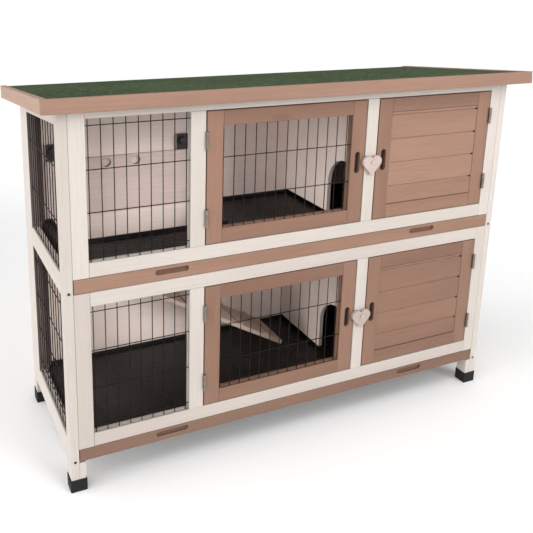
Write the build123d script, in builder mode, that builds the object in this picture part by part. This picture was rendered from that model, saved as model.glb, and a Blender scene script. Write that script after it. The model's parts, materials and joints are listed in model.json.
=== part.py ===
from build123d import *
import math
import os

# A two-storey rabbit hutch.  Origin: middle of the footprint, on the ground.
# +X is the right-hand end seen from the front, the front faces -Y, +Z is up.

# Body
body_w = 1094.0
body_d = 390.0
side_t = 18.0          # thickness of the side panels
front_t = 18.0         # thickness of the front frames and doors
back_t = 10.0
roof_z = 826.0         # underside of the roof at the front face
roof_fall = math.radians(5.75)
fit = 0.2              # hairline between glued or nailed pieces
roof_gap = 0.6         # gap between the walls and the roof
edge_round = 1.2       # rounded edges of the frame boards
door_edge = 0.8        # broken edges of doors and tray fronts

half_w = body_w / 2
front_y = -body_d / 2
back_y = body_d / 2
frame_back_y = front_y + front_t
back_face_y = back_y - back_t
side_in = half_w - side_t

# Storeys: tray slot and front frame
slot_z = {"lower": (68.0, 98.0), "upper": (446.0, 478.0)}
frame_z = {"lower": (98.0, 446.0), "upper": (478.0, 824.0)}
rail_h = 30.5
opening_h = 287.0

# Columns of the front frames, along X
window_x = (-496.0, -283.0)
mesh_door_x = (-250.0, 141.0)
plank_door_x = (171.0, 500.0)
left_stile_w = 33.0    # widths of the stiles that the rails stop at
right_stile_w = 29.0

# Legs
post_d = 31.0
rear_post_d = 78.0
block_t = 13.3
leg_bottom = 3.0
leg_top = 68.0
block_in = side_in - block_t

# Side rails
bottom_rail_z = (63.0, 115.0)
middle_rail_z = (439.0, 484.0)
top_rail_h = 40.0

# Weldmesh
wire_r = 1.0
wire_pitch = 25.0
wire_rise = 86.0
wire_tuck = 4.0        # how far a wire end sits in its groove
window_wires = 9
window_first = 6.5     # from the opening's edge to the first upright wire
window_cross = 4
door_wires = 13
door_first = 3.7
door_cross = 2
groove_w = 4.6
groove_deep = 5.0
groove_y = 4.0         # from the outer face to the groove

# Doors
door_gap = 2.5
door_gap_z = 2.0
door_stile = 36.0
door_rail = 31.5
finger_l = 50.0
finger_w = 14.0
finger_deep = 8.0
board_t = 8.0
board_h = 56.0
board_tuck = 8.0
board_set_back = 8.0
board_face = 1.5       # from the door's face to the face of its boards
board_play = 0.5       # between the boards' raised faces and the frame
board_edge = 1.5
notch_r = 2.6          # hole at one end of each joint
notch_in = 3.4
notch_deep = 6.0

# Hinges
hinge_h = 38.0
hinge_end = 59.0       # hinge centre to the end of the door
knuckle_r = 3.25
pin_r = 1.5
pin_play = 0.25
leaf_t = 1.0
leaf_w = 16.0
pin_out = 4.0          # pin axis in front of the front face
knuckle_gap = 0.4
leaf_clear = 0.25      # from the pin axis to the face of a leaf

# Latches, on the stile between the doors
latch_x = 156.0
latch_w = 31.0
latch_t = 9.0
latch_off = 1.5        # gap between latch and frame
latch_edge = 1.0
latch_bore = 0.3       # play around the latch screw
screw_r = 2.2

# Trays
tray_play = 1.5
tray_wall = 3.0
tray_sink = 9.0        # lip above the tray floor
tray_gap = 1.0         # gap above and below a tray
tray_body_x = 513.0
tray_back_y = 181.0
grip_x = 322.5
grip_l = 74.0
grip_h = 12.0
grip_deep = 6.0
grip_up = 3.0
runner_h = 14.0
runner_w = 22.0
runner_play = 0.6

# Hatch and ramp
hatch_x = (-487.0, -102.0)
hatch_front_y = 15.0   # the hatch is open to the back
ramp_foot_x = 73.0
ramp_foot_z = 99.5
ramp_pin_x = -499.0
ramp_pin_z = 432.0
ramp_y = (25.0, 159.0)
ramp_t = 10.0
cleat_pitch = 85.0
cleat_h = 4.0
cleat_w = 10.0
ramp_pin_r = 2.5
ramp_pin_play = 0.3

# Hatch cover, stored on the back wall
cover_x = (-499.0, -119.0)
cover_z = (478.8, 620.0)
cover_t = 9.0
cover_play = 0.5
cover_corner = 4.0
cover_hole_r = 11.0
cover_hole_x = (-352.0, -277.0)
cover_hole_z = 605.0
clip_x = (-482.0, -154.0)
clip_z = 646.0
clip_w = 30.0
clip_up = 16.0
clip_down = 25.0
clip_t = 2.5
clip_corner = 3.0
knob_r = 10.5
knob_t = 12.0
hub_r = 6.3
hub_gap = 0.3          # from the hub's end to the back panel

# Dividers
divider_x = 158.0
divider_t = 10.0
divider_lift = 1.8
arch_w = 140.0
arch_h = 146.0
arch_y = -95.0
divider_gap = 1.0      # gap to the front frames, the roof and the tray above

# Roof
eave_side = 35.0
eave_front = 41.0
eave_back = 40.78
fascia_t = 12.0
fascia_up = 13.5
fascia_down = 14.5
deck_t = 9.0
felt_t = 2.5
felt_gap = 0.05

# Feet
foot_h = 28.0
foot_wall = 1.7
foot_round = 1.5
foot_floor_gap = 0.1

roof = Plane(
    origin=(0, front_y, roof_z),
    x_dir=(1, 0, 0),
    z_dir=(0, math.sin(roof_fall), math.cos(roof_fall)),
)

os.makedirs("parts", exist_ok=True)


def keep(piece, name):
    """Label one finished piece and write it."""
    piece.part.label = name
    export_step(piece.part, f"parts/{name}.step")


def rect(x, y):
    """A rectangle between two pairs of limits, in the open sketch."""
    with Locations(((x[0] + x[1]) / 2, (y[0] + y[1]) / 2)):
        Rectangle(abs(x[1] - x[0]), abs(y[1] - y[0]))


def slab(x, y, z, mode=Mode.ADD):
    """A straight board between limits on the three axes, in the open part."""
    with BuildSketch(Plane.XY.offset(z[0])) as outline:
        rect(x, y)
    extrude(outline.sketch, amount=z[1] - z[0], mode=mode)


def disc(x, z, radius, y, length, mode=Mode.ADD):
    """A round bar along Y that starts at y and runs back, in the open part."""
    with BuildSketch(Plane.XZ.offset(-y - length)) as outline:
        with Locations((x, z)):
            Circle(radius)
    extrude(outline.sketch, amount=length, mode=mode)


def between(a, b):
    """Two limits in rising order."""
    return min(a, b), max(a, b)


def soften(part, axis):
    """Round the long edges of a board that runs along an axis."""
    edges = part.edges().filter_by(axis).group_by(SortBy.LENGTH)[-1]
    fillet(edges, edge_round)


# ---------------------------------------------------------------- side panels

def under_roof(y, below=0.0):
    """Height of the roof's underside at a depth y."""
    return roof_z - below - (y - front_y) * math.tan(roof_fall)


def side_outline(y, low, high):
    """A board seen from the side: y limits, then lower and upper heights at them."""
    with BuildLine() as edge:
        Polyline((y[0], low[0]), (y[1], low[1]), (y[1], high[1]), (y[0], high[0]), close=True)
    make_face(edge.edges())


def cut_to_roof(x, y, low, gap, mode=Mode.ADD):
    """A board between two x limits whose top follows the roof, in the open part."""
    with BuildSketch(Plane.YZ.offset(x[0])) as outline:
        side_outline(y, low, (under_roof(y[0], gap), under_roof(y[1], gap)))
    extrude(outline.sketch, amount=x[1] - x[0], mode=mode)


def side_x(side):
    """X limits of one side panel."""
    return between(side * side_in, side * half_w)


def side_groove(y, z):
    """Groove for the mesh in a board of the left panel's window."""
    slab(left_groove_x, y, z, Mode.SUBTRACT)


left_groove_x = (-half_w + groove_y, -half_w + groove_y + groove_w)
front_post_y = (front_y, front_y + post_d)
rear_post_y = (back_y - rear_post_d, back_y)
leg_y = (back_y - post_d, back_y)
side_window_y = (front_post_y[1], rear_post_y[0])
side_window_z = {
    "lower": (bottom_rail_z[1], middle_rail_z[0]),
    "upper": (middle_rail_z[1], under_roof(side_window_y[1], top_rail_h)),
}
post_screw_z = (70.0, 450.0)
post_screw_x = half_w - 9.5
screw_head_r = 3.2
screw_head_t = 2.4
screw_l = 25.0


def screw_hole(x, z, length):
    """A countersunk hole from the front face."""
    disc(x, z, screw_r, front_y, length, Mode.SUBTRACT)
    disc(x, z, screw_head_r, front_y, screw_head_t, Mode.SUBTRACT)


def side_posts(side, name):
    """Front and rear uprights of one side panel, which run down as legs."""
    with BuildPart() as front_post:
        cut_to_roof(side_x(side), front_post_y, (leg_bottom, leg_bottom), roof_gap)
        soften(front_post, Axis.Z)
        if side < 0:
            for low, high in side_window_z.values():
                side_groove((front_post_y[1] - groove_deep, front_post_y[1]), (low, high + top_rail_h))
        for z in post_screw_z:
            screw_hole(side * post_screw_x, z, screw_l)
    keep(front_post, f"{name}_front_post")

    with BuildPart() as rear_post:
        cut_to_roof(side_x(side), rear_post_y, (bottom_rail_z[0], bottom_rail_z[0]), roof_gap)
        slab(side_x(side), leg_y, (leg_bottom, bottom_rail_z[0]))
        if side < 0:
            for low, high in side_window_z.values():
                side_groove((rear_post_y[0], rear_post_y[0] + groove_deep), (low, high + top_rail_h))
    keep(rear_post, f"{name}_rear_post")


rail_y = (side_window_y[0] + fit, side_window_y[1] - fit)


def left_rail(name, z, grooves):
    """A rail of the left panel, with a groove along each window that it meets."""
    with BuildPart() as rail:
        slab((-half_w, -side_in), rail_y, z)
        soften(rail, Axis.Y)
        for groove_z in grooves:
            side_groove(rail_y, groove_z)
    keep(rail, name)


def left_top_rail():
    """The top rail of the left panel follows the roof."""
    low = (under_roof(rail_y[0], top_rail_h), under_roof(rail_y[1], top_rail_h))
    with BuildPart() as rail:
        cut_to_roof((-half_w, -side_in), rail_y, low, roof_gap)
        cut_to_roof(left_groove_x, rail_y, low, top_rail_h - groove_deep, Mode.SUBTRACT)
    keep(rail, "left_top_rail")


def wire(plane, at, length):
    """One straight round wire from a plane, in the open part."""
    with BuildSketch(plane) as section:
        with Locations(at):
            Circle(wire_r)
    extrude(section.sketch, amount=length)


mesh_front_y = front_y + groove_y + groove_w / 2


side_wire_z = {
    "lower": (404.0, 318.0, 232.0, 146.0),
    "upper": (692.5, 581.0),
}


def side_mesh(storey):
    """Mesh of one window in the left panel."""
    low, high = side_window_z[storey]
    x_cross = -half_w + groove_y + groove_w / 2 - wire_r
    x_upright = x_cross + 2 * wire_r
    depth = side_window_y[1] - side_window_y[0]
    count = int(depth // wire_pitch)
    first_y = side_window_y[0] + (depth - (count - 1) * wire_pitch) / 2
    with BuildPart() as mesh:
        for i in range(count):
            y = first_y + i * wire_pitch
            top = high if storey == "lower" else under_roof(y, top_rail_h)
            wire(Plane.XY.offset(low - wire_tuck), (x_upright, y), top - low + 2 * wire_tuck)
        for z in side_wire_z[storey]:
            start = Plane.XZ.offset(-side_window_y[1] - wire_tuck)
            wire(start, (x_cross, z), depth + 2 * wire_tuck)
    keep(mesh, f"left_{storey}_mesh")


side_boards = 6
boards_z = {
    "lower": (bottom_rail_z[0], slot_z["upper"][0]),
    "upper": (slot_z["upper"][0], roof_z),
}


def right_boards(storey):
    """Horizontal boards that close the right side of one storey."""
    low, high = boards_z[storey]
    height = (high - low) / side_boards
    y = (front_post_y[1] + fit, rear_post_y[0] - fit)
    with BuildPart() as boards:
        for i in range(side_boards):
            slab(side_x(1), y, (low + i * height, low + (i + 1) * height - fit))
        chamfer(boards.edges().filter_by(Axis.Y), edge_round)
        if storey == "upper":
            split(bisect_by=roof.offset(-roof_gap), keep=Keep.BOTTOM)
    keep(boards, f"right_{storey}_boards")


block_top_gap = 1.5    # the leg blocks stop just below the roof


def leg_blocks():
    """Inner halves of the four legs, which carry the front frames and the back."""
    with BuildPart() as blocks:
        for side in (-1, 1):
            x = between(side * block_in, side * (side_in - fit / 2))
            front_top = under_roof(front_post_y[1], block_top_gap)
            rear_top = under_roof(back_y, block_top_gap)
            slab(x, front_post_y, (leg_bottom, leg_top - tray_play))
            slab(x, (frame_back_y + fit, front_post_y[1]), (leg_bottom, front_top))
            slab(x, leg_y, (leg_bottom, leg_top - tray_play))
            slab(x, (leg_y[0], back_face_y - fit), (leg_bottom, rear_top))
    keep(blocks, "leg_blocks")


def foot_blocks(grow, z, mode=Mode.ADD):
    """A block around each of the four legs, grown by a margin, in the open part."""
    for side in (-1, 1):
        x = between(side * block_in, side * half_w)
        for y in (front_post_y, leg_y):
            slab((x[0] - grow, x[1] + grow), (y[0] - grow, y[1] + grow), z, mode)


def foot_caps():
    """Moulded caps on the four legs."""
    with BuildPart() as caps:
        foot_blocks(foot_wall + fit, (0, foot_h))
        fillet(caps.edges().filter_by(Axis.Z), foot_round)
        foot_blocks(fit, (leg_bottom - foot_floor_gap, foot_h), Mode.SUBTRACT)
    keep(caps, "foot_caps")


# ---------------------------------------------------------------- front frames

def front_piece(name, x, z, grooves=()):
    """One stile or rail of a front frame; grooves are (x limits, z limits)."""
    along = Axis.X if x[1] - x[0] > z[1] - z[0] else Axis.Z
    with BuildPart() as piece:
        slab(x, (front_y, frame_back_y), z)
        soften(piece, along)
        for gx, gz in grooves:
            slab(gx, (front_y + groove_y, front_y + groove_y + groove_w), gz, Mode.SUBTRACT)
    keep(piece, name)


def front_frame(storey):
    """Stiles and rails of one front frame, six pieces."""
    low, high = frame_z[storey]
    open_z = (low + rail_h, low + rail_h + opening_h)
    outer_z = (low, high)
    rail_x = (-side_in + left_stile_w + fit, side_in - right_stile_w - fit)
    mid_z = (open_z[0] + fit, open_z[1] - fit)
    left_edge, right_edge = window_x
    front_piece(
        f"{storey}_left_stile",
        (-side_in + fit, left_edge),
        outer_z,
        [((left_edge - groove_deep, left_edge), open_z)],
    )
    front_piece(f"{storey}_right_stile", (plank_door_x[1], side_in - fit), outer_z)
    front_piece(
        f"{storey}_top_rail",
        rail_x,
        (open_z[1], high),
        [(window_x, (open_z[1], open_z[1] + groove_deep))],
    )
    front_piece(
        f"{storey}_bottom_rail",
        rail_x,
        (low, open_z[0]),
        [(window_x, (open_z[0] - groove_deep, open_z[0]))],
    )
    front_piece(
        f"{storey}_door_stile",
        (right_edge, mesh_door_x[0]),
        mid_z,
        [((right_edge, right_edge + groove_deep), mid_z)],
    )
    front_latch_stile(storey, mid_z)


def latch_z(storey):
    """Height of a latch's pivot screw."""
    low = frame_z[storey][0] + rail_h
    return low + opening_h / 2


def front_latch_stile(storey, z):
    """The stile between the doors, bored for the latch screw."""
    with BuildPart() as piece:
        slab((mesh_door_x[1], plank_door_x[0]), (front_y, frame_back_y), z)
        soften(piece, Axis.Z)
        with BuildSketch(Plane.XZ.offset(-frame_back_y)):
            with Locations((latch_x, latch_z(storey))):
                Circle(screw_r)
        extrude(amount=front_t, mode=Mode.SUBTRACT)
    keep(piece, f"{storey}_latch_stile")


def flat_mesh(x, z, first_x, count, cross_z):
    """Upright and cross wires behind an opening of the front."""
    y_upright = mesh_front_y + wire_r
    y_cross = mesh_front_y - wire_r
    with BuildPart() as mesh:
        for i in range(count):
            at = (first_x + i * wire_pitch, y_upright)
            wire(Plane.XY.offset(z[0] - wire_tuck), at, z[1] - z[0] + 2 * wire_tuck)
        for height in cross_z:
            wire(Plane.YZ.offset(x[0] - wire_tuck), (y_cross, height), x[1] - x[0] + 2 * wire_tuck)
    return mesh


window_wire_z = {"lower": 401.8, "upper": 781.5}
door_wire_z = {"lower": 314.7, "upper": 694.4}


def window_mesh(storey):
    """Mesh of the left-hand window."""
    low = frame_z[storey][0] + rail_h
    cross = [window_wire_z[storey] - i * wire_rise for i in range(window_cross)]
    first_x = window_x[0] + window_first
    mesh = flat_mesh(window_x, (low, low + opening_h), first_x, window_wires, cross)
    keep(mesh, f"{storey}_window_mesh")


# ---------------------------------------------------------------- doors

def door_limits(storey, column):
    """Outside of a door, inside its opening."""
    low = frame_z[storey][0] + rail_h
    x = (column[0] + door_gap, column[1] - door_gap)
    return x, (low + door_gap_z, low + opening_h - door_gap_z)


def door_opening(x, z):
    """Clear opening inside a door's frame."""
    return (x[0] + door_stile, x[1] - door_stile), (z[0] + door_rail, z[1] - door_rail)


def door_boards(x, z):
    """The four pieces of a door frame, in the open part."""
    (ix0, ix1), (iz0, iz1) = door_opening(x, z)
    y = (front_y, frame_back_y)
    slab((x[0], ix0), y, z)
    slab((ix1, x[1]), y, z)
    slab((ix0 + fit, ix1 - fit), y, (z[0], iz0))
    slab((ix0 + fit, ix1 - fit), y, (iz1, z[1]))


def finger_slot(x, z):
    """A routed finger grip in a door stile, from the front."""
    with BuildSketch(Plane.XZ.offset(-front_y - finger_deep)) as slot:
        with Locations((x, z)):
            SlotOverall(finger_l, finger_w, rotation=90)
    extrude(slot.sketch, amount=finger_deep, mode=Mode.SUBTRACT)


def mesh_door(storey):
    """Mesh door: a grooved frame, and its mesh."""
    x, z = door_limits(storey, mesh_door_x)
    open_x, open_z = door_opening(x, z)
    with BuildPart() as frame:
        door_boards(x, z)
        chamfer(frame.faces().filter_by(Axis.Y).group_by(Axis.Y)[0].edges(), door_edge)
        grown_x = (open_x[0] - groove_deep, open_x[1] + groove_deep)
        grown_z = (open_z[0] - groove_deep, open_z[1] + groove_deep)
        slab(grown_x, (front_y + groove_y, front_y + groove_y + groove_w), grown_z, Mode.SUBTRACT)
        finger_slot(open_x[1] + door_stile / 2, (z[0] + z[1]) / 2)
    keep(frame, f"{storey}_mesh_door_frame")

    cross = [door_wire_z[storey] - i * wire_rise for i in range(door_cross)]
    mesh = flat_mesh(open_x, open_z, open_x[0] + door_first, door_wires, cross)
    keep(mesh, f"{storey}_mesh_door_mesh")


def plank_door(storey):
    """Plank door: a rebated frame, and the boards it holds, their faces raised nearly flush."""
    x, z = door_limits(storey, plank_door_x)
    open_x, open_z = door_opening(x, z)
    grown_x = (open_x[0] - board_tuck, open_x[1] + board_tuck)
    grown_z = (open_z[0] - board_tuck, open_z[1] + board_tuck)
    board_y = (front_y + board_set_back, front_y + board_set_back + board_t)
    with BuildPart() as frame:
        door_boards(x, z)
        chamfer(frame.faces().filter_by(Axis.Y).group_by(Axis.Y)[0].edges(), door_edge)
        slab(grown_x, (board_y[0] - fit, frame_back_y), grown_z, Mode.SUBTRACT)
        finger_slot(open_x[0] - door_stile / 2, (z[0] + z[1]) / 2)
    keep(frame, f"{storey}_plank_door_frame")

    face_x = (open_x[0] + board_play, open_x[1] - board_play)
    face_y = front_y + board_face
    joints = []
    with BuildPart() as boards:
        top = grown_z[1] - fit
        edge = open_z[1] - board_tuck
        while top > grown_z[0] + fit:
            bottom = max(edge, grown_z[0] + fit)
            face_z = (
                max(bottom + fit, open_z[0] + board_play),
                min(top, open_z[1] - board_play),
            )
            slab((grown_x[0] + fit, grown_x[1] - fit), board_y, (bottom + fit, top))
            slab(face_x, (face_y, board_y[0]), face_z)
            joints.append(bottom)
            top = bottom
            edge -= board_h
        front_edges = boards.faces().filter_by(Axis.Y).group_by(Axis.Y)[0].edges()
        chamfer(front_edges.filter_by(Axis.X), board_edge)
        for joint in joints[:-1]:
            disc(face_x[1] - notch_in, joint, notch_r, face_y, notch_deep, Mode.SUBTRACT)
    keep(boards, f"{storey}_plank_door_boards")


# ---------------------------------------------------------------- hinges

def hinge_centres(storey):
    """Heights of a door's two hinges."""
    _, z = door_limits(storey, mesh_door_x)
    return z[0] + hinge_end, z[1] - hinge_end


def pin_x(column):
    """The pin stands in front of the gap beside the door."""
    if column == mesh_door_x:
        return column[0] + door_gap / 2
    return column[1] - door_gap / 2


knuckle_third = hinge_h / 3
pin_y = front_y - pin_out


def tube(x, z, radius, bore=0):
    """A pin, or a knuckle if it has a bore, on the pin axis between two heights."""
    with BuildSketch(Plane.XY.offset(z[0])) as ring:
        with Locations((x, pin_y)):
            Circle(radius)
            if bore:
                Circle(bore, mode=Mode.SUBTRACT)
    extrude(ring.sketch, amount=z[1] - z[0])


def leaf(x, sign, centre, knuckles):
    """One leaf in the gap: sign is the side of the pin that it lies on."""
    inner = x + sign * leaf_clear
    leaf_x = between(inner, inner + sign * leaf_t)
    plate_y = (pin_y + knuckle_r + pin_play, pin_y + knuckle_r + leaf_w)
    slab(leaf_x, plate_y, (centre - hinge_h / 2, centre + hinge_h / 2))
    for z in knuckles:
        slab(leaf_x, (pin_y + pin_r + 2 * pin_play, plate_y[0]), z)
        tube(x, z, knuckle_r, pin_r + pin_play)


def frame_hinge_leaves():
    """Frame leaves of all eight door hinges with their pins, and the ramp's lugs and pin."""
    with BuildPart() as leaves:
        for storey in slot_z:
            for column, sign in ((mesh_door_x, -1), (plank_door_x, 1)):
                for centre in hinge_centres(storey):
                    low_knuckle = (centre - hinge_h / 2, centre - knuckle_third / 2)
                    high_knuckle = (centre + knuckle_third / 2, centre + hinge_h / 2)
                    leaf(pin_x(column), sign, centre, (low_knuckle, high_knuckle))
        ramp_lugs()
    with BuildPart() as pins:
        for storey in slot_z:
            for column in (mesh_door_x, plank_door_x):
                for centre in hinge_centres(storey):
                    tube(pin_x(column), (centre - hinge_h / 2, centre + hinge_h / 2), pin_r)
        lug_y = (ramp_y[0] - lug_reach, ramp_y[1] + lug_reach)
        disc(ramp_pin_x, ramp_pin_z, ramp_pin_r, lug_y[0], lug_y[1] - lug_y[0])
    with BuildPart() as both:
        add(leaves.part)
        add(pins.part)
    keep(both, "frame_hinge_leaves")


lug_t = 3.0
lug_gap = 1.5
lug_r = 7.0
lug_reach = lug_gap + lug_t


def ramp_lugs():
    """Two lugs on the left upper runner that carry the ramp's pin."""
    for y in (ramp_y[0] - lug_gap - lug_t, ramp_y[1] + lug_gap):
        with BuildSketch(Plane.XZ.offset(-y - lug_t)) as lug:
            with Locations((ramp_pin_x, ramp_pin_z)):
                Circle(lug_r)
            rect((-side_in + runner_w + fit, ramp_pin_x), (ramp_pin_z - lug_r, ramp_pin_z + lug_r))
            with Locations((ramp_pin_x, ramp_pin_z)):
                Circle(ramp_pin_r + fit / 2, mode=Mode.SUBTRACT)
        extrude(lug.sketch, amount=lug_t)


def door_hinge_leaves(storey, kind, column, sign):
    """The two leaves screwed to one door."""
    x = pin_x(column)
    reach = knuckle_third / 2 - knuckle_gap
    with BuildPart() as leaves:
        for centre in hinge_centres(storey):
            leaf(x, sign, centre, ((centre - reach, centre + reach),))
    keep(leaves, f"{storey}_{kind}_door_hinges")


# ---------------------------------------------------------------- latches and screws

heart_lobe = 0.27      # radius of a lobe, as a share of the width
heart_tall = 0.86      # height, as a share of the width
heart_above = 0.36     # share of the height above the pivot


def heart(width):
    """Half a heart around its pivot, point down, in the open sketch."""
    lobe = width * heart_lobe
    offset_x = width / 2 - lobe
    height = width * heart_tall
    centre_y = height * heart_above - lobe
    tip_y = centre_y + lobe - height
    reach = math.hypot(offset_x, centre_y - tip_y)
    flank = math.atan2(centre_y - tip_y, offset_x) - math.asin(lobe / reach)
    start = math.degrees(flank) - 90
    cleft = math.degrees(math.acos(-offset_x / lobe))
    with BuildLine() as edge:
        side = CenterArc((offset_x, centre_y), lobe, start, cleft - start)
        Polyline(side @ 1, (0, tip_y), side @ 0)
    make_face(edge.edges())


def heart_latch(storey):
    """A wooden turn button, cut as a heart, on its pivot screw."""
    pivot = (latch_x, front_y - latch_off, latch_z(storey))
    plane = Plane(origin=pivot, x_dir=(1, 0, 0), z_dir=(0, -1, 0))
    with BuildPart() as latch:
        with BuildSketch(plane):
            heart(latch_w)
            mirror(about=Plane.YZ)
            Circle(screw_r + latch_bore, mode=Mode.SUBTRACT)
        extrude(amount=latch_t)
        chamfer(latch.faces().sort_by(Axis.Y)[0].outer_wire().edges(), latch_edge)
    keep(latch, f"{storey}_heart_latch")


shank_r = screw_r - 0.1
latch_head_r = 4.0
latch_head_t = 2.0
latch_head_gap = 0.3
latch_screw_l = 27.3


def round_screw(x, z, face_y, length, head):
    """A screw along Y: face_y is behind its head, head is (radius, thickness)."""
    disc(x, z, head[0], face_y - head[1], head[1])
    disc(x, z, shank_r, face_y, length)


def screws():
    """Latch pivots and the screws that fix the front legs."""
    latch_face = front_y - latch_off - latch_t - latch_head_gap
    latch_head = (latch_head_r, latch_head_t)
    post_face = front_y + screw_head_t - fit / 2
    post_head = (screw_head_r - fit / 2, screw_head_t - fit)
    with BuildPart() as group:
        for storey in slot_z:
            round_screw(latch_x, latch_z(storey), latch_face, latch_screw_l, latch_head)
        for side in (-1, 1):
            for z in post_screw_z:
                round_screw(side * post_screw_x, z, post_face, screw_l - screw_head_t, post_head)
    keep(group, "screws")


# ---------------------------------------------------------------- trays

def tray_z(storey):
    """Lower and upper limits of a tray, in its slot."""
    low, high = slot_z[storey]
    return low + tray_gap, high - tray_gap


def tray_front(storey):
    """The wooden front of a slide-out tray, with two finger grips."""
    z = tray_z(storey)
    grip_z = (z[0] + z[1]) / 2 + grip_up
    with BuildPart() as front:
        slab((-side_in + tray_play, side_in - tray_play), (front_y, frame_back_y), z)
        chamfer(front.faces().sort_by(Axis.Y)[0].edges(), door_edge)
        with BuildSketch(Plane.XZ.offset(-front_y - grip_deep)):
            with Locations((-grip_x, grip_z), (grip_x, grip_z)):
                SlotOverall(grip_l, grip_h)
        extrude(amount=grip_deep, mode=Mode.SUBTRACT)
    keep(front, f"{storey}_tray_front")


def tray_floor(storey):
    """The moulded floor of a tray; the upper one is cut away at the hatch, with a rim."""
    z = tray_z(storey)
    x = (-tray_body_x, tray_body_x)
    y = (frame_back_y + fit, tray_back_y)
    inner_x = (x[0] + tray_wall, x[1] - tray_wall)
    inner_y = (y[0] + tray_wall, y[1] - tray_wall)
    rim_x = (hatch_x[0] - tray_wall, hatch_x[1] + tray_wall)
    rim_y = (hatch_front_y - tray_wall, y[1])
    floor_top = z[1] - tray_sink
    with BuildPart() as floor:
        slab(x, y, z)
        slab(inner_x, inner_y, (floor_top, z[1]), Mode.SUBTRACT)
        slab(inner_x, inner_y, (z[0], floor_top - tray_wall), Mode.SUBTRACT)
        if storey == "upper":
            slab(rim_x, rim_y, z)
            slab(hatch_x, (hatch_front_y, y[1]), z, Mode.SUBTRACT)
    keep(floor, f"{storey}_tray_floor")


def tray_runners():
    """Strips that the trays slide on, one at each side of each storey."""
    y = (front_post_y[1] + fit, leg_y[0] - fit)
    with BuildPart() as runners:
        for storey in slot_z:
            top = tray_z(storey)[0] - runner_play
            for side in (-1, 1):
                x = between(side * (side_in - fit), side * (side_in - runner_w))
                slab(x, y, (top - runner_h, top))
    keep(runners, "tray_runners")


# ---------------------------------------------------------------- inside

def divider(storey):
    """Wall between the run and the nest, with an arched pass-through."""
    low = slot_z[storey][1] + divider_lift
    y = (frame_back_y + divider_gap, back_face_y - fit)
    radius = arch_w / 2
    if storey == "lower":
        high = (slot_z["upper"][0] - divider_gap,) * 2
    else:
        high = (under_roof(y[0], divider_gap), under_roof(y[1], divider_gap))
    with BuildPart() as wall:
        with BuildSketch(Plane.YZ.offset(divider_x)):
            side_outline(y, (low, low), high)
            with Locations((arch_y, low + arch_h - radius)):
                Circle(radius, mode=Mode.SUBTRACT)
            with Locations((arch_y, low + (arch_h - radius) / 2)):
                Rectangle(arch_w, arch_h - radius, mode=Mode.SUBTRACT)
        extrude(amount=divider_t)
    keep(wall, f"{storey}_divider")


def back_panels():
    """Two sheets that close the back."""
    seam = (slot_z["upper"][0] + slot_z["upper"][1]) / 2
    x = (-side_in + fit, side_in - fit)
    y = (back_face_y, back_y)
    with BuildPart() as panels:
        slab(x, y, (leg_top + tray_play, seam - fit))
        slab(x, y, (seam, under_roof(back_y, roof_gap)))
    keep(panels, "back_panels")


ramp_run = ramp_foot_x - ramp_pin_x
ramp_rise = ramp_pin_z - ramp_t / 2 - ramp_foot_z
ramp_angle = math.atan2(ramp_rise, ramp_run)
ramp_l = math.hypot(ramp_run, ramp_rise)


def ramp():
    """A cleated board that hangs from the pin below the hatch."""
    down = (math.cos(ramp_angle), 0, -math.sin(ramp_angle))
    plane = Plane(origin=(ramp_pin_x, ramp_y[0], ramp_pin_z), x_dir=down, z_dir=(0, -1, 0))
    width = ramp_y[1] - ramp_y[0]
    with BuildPart() as board:
        with BuildSketch(plane):
            rect((0, ramp_l), (-ramp_t / 2, ramp_t / 2))
            Circle(ramp_t / 2)
            Circle(ramp_pin_r + ramp_pin_play, mode=Mode.SUBTRACT)
        extrude(amount=-width)
        place = cleat_pitch
        while place < ramp_l - cleat_w:
            with BuildSketch(plane):
                rect((place, place + cleat_w), (ramp_t / 2, ramp_t / 2 + cleat_h))
            extrude(amount=-width)
            place += cleat_pitch
    keep(board, "ramp")


def hatch_cover():
    """The board that closes the hatch, put away against the back wall."""
    y = (back_face_y - cover_play - cover_t, back_face_y - cover_play)
    with BuildPart() as cover:
        slab(cover_x, y, cover_z)
        fillet(cover.edges().filter_by(Axis.Y), cover_corner)
        with BuildSketch(Plane.XZ.offset(-y[1])):
            with Locations((cover_hole_x[0], cover_hole_z), (cover_hole_x[1], cover_hole_z)):
                Circle(cover_hole_r)
        extrude(amount=cover_t, mode=Mode.SUBTRACT)
    keep(cover, "hatch_cover")


def cover_clip(name, x):
    """A turn plate with its knob, which holds the stored cover."""
    hub_l = cover_t + 2 * cover_play - hub_gap
    y = back_face_y - hub_gap - hub_l
    plate_z = (clip_z - clip_down, clip_z + clip_up)
    with BuildPart() as clip:
        slab((x - clip_w / 2, x + clip_w / 2), (y - clip_t, y), plate_z)
        fillet(clip.edges().filter_by(Axis.Y), clip_corner)
        disc(x, clip_z, hub_r, y, hub_l)
        disc(x, clip_z, knob_r, y - clip_t - knob_t, knob_t)
        fillet(clip.faces().sort_by(Axis.Y)[0].edges(), clip_t)
    keep(clip, name)


# ---------------------------------------------------------------- roof

def roof_slab(x, v, w, mode=Mode.ADD):
    """A board in the roof's own plane: v runs down the slope, w is up from it."""
    with BuildSketch(roof.offset(w[0])) as outline:
        rect(x, v)
    extrude(outline.sketch, amount=w[1] - w[0], mode=mode)


roof_half = half_w + eave_side
roof_front = -eave_front
roof_back = (body_d + eave_back) / math.cos(roof_fall)


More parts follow.
